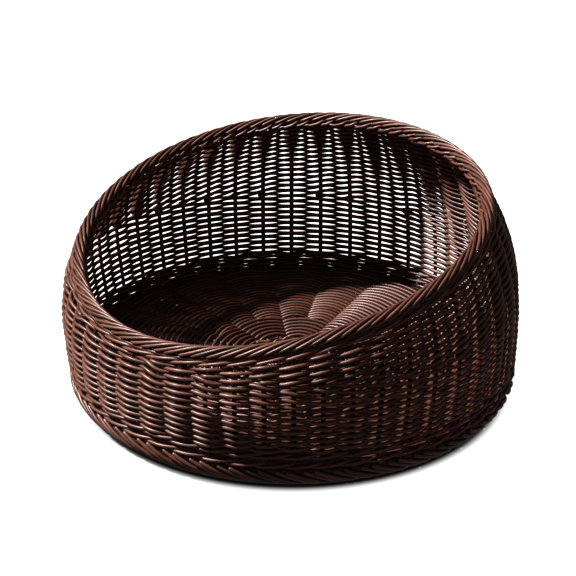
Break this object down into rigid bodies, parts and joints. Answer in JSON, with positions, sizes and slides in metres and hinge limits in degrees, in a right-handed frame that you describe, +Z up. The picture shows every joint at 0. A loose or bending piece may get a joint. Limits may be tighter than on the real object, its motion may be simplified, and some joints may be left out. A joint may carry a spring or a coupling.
{
  "type": "wicker pet bed basket",
  "caption": "Round woven pet bed basket with a bulging wall, a low front entrance, a high back, a rolled rim, a woven floor and a foot border.",
  "frame": {"origin": "middle of the foot border's underside, on the surface that the basket stands on", "axes": "+Z up; the low entrance faces -Y and the high back is at +Y; the mirror plane of the form is X = 0"},
  "size_m": [0.5166, 0.5033, 0.2558],
  "materials": {
    "weave_resin": "semi-gloss dark brown round resin weaver with slight colour variation",
    "border_resin": "semi-gloss dark brown round resin weaver, laid as wale and rolled border",
    "stake_resin": "dark brown satin resin rod",
    "stick_resin": "dark brown satin resin rod"
  },
  "bodies": {
    "root": {"floor_stick_lower_01": "stick_resin", "floor_stick_lower_02": "stick_resin", "floor_stick_lower_03": "stick_resin", "floor_stick_lower_04": "stick_resin", "floor_stick_lower_05": "stick_resin", "floor_stick_upper_01": "stick_resin", "floor_stick_upper_02": "stick_resin", "floor_stick_upper_03": "stick_resin", "floor_stick_upper_04": "stick_resin", "floor_stick_upper_05": "stick_resin", "floor_stick_upper_06": "stick_resin", "floor_weave": "weave_resin", "foot_border": "border_resin", "upsett_wale": "border_resin", "side_stakes_01": "stake_resin", "side_stakes_02": "stake_resin", "side_stakes_03": "stake_resin", "side_stakes_04": "stake_resin", "side_stakes_05": "stake_resin", "side_stakes_06": "stake_resin", "side_stakes_07": "stake_resin", "side_stakes_08": "stake_resin", "side_stakes_09": "stake_resin", "side_stakes_10": "stake_resin", "side_stakes_11": "stake_resin", "side_stakes_12": "stake_resin", "side_stakes_13": "stake_resin", "side_stakes_14": "stake_resin", "side_stakes_15": "stake_resin", "side_stakes_16": "stake_resin", "side_stakes_17": "stake_resin", "side_stakes_18": "stake_resin", "side_stakes_19": "stake_resin", "side_stakes_20": "stake_resin", "side_stakes_21": "stake_resin", "side_stakes_22": "stake_resin", "side_stakes_23": "stake_resin", "side_stakes_24": "stake_resin", "side_stakes_25": "stake_resin", "side_stakes_26": "stake_resin", "side_stakes_27": "stake_resin", "side_stakes_28": "stake_resin", "side_stakes_29": "stake_resin", "side_stakes_30": "stake_resin", "side_stakes_31": "stake_resin", "side_stakes_32": "stake_resin", "side_stakes_33": "stake_resin", "side_stakes_34": "stake_resin", "side_stakes_35": "stake_resin", "side_stakes_36": "stake_resin", "side_stakes_37": "stake_resin", "side_stakes_38": "stake_resin", "side_stakes_39": "stake_resin", "side_stakes_40": "stake_resin", "side_stakes_41": "stake_resin", "side_stakes_42": "stake_resin", "side_stakes_43": "stake_resin", "side_stakes_44": "stake_resin", "wall_weave": "weave_resin", "rim_border": "border_resin"}
  },
  "joints": []
}
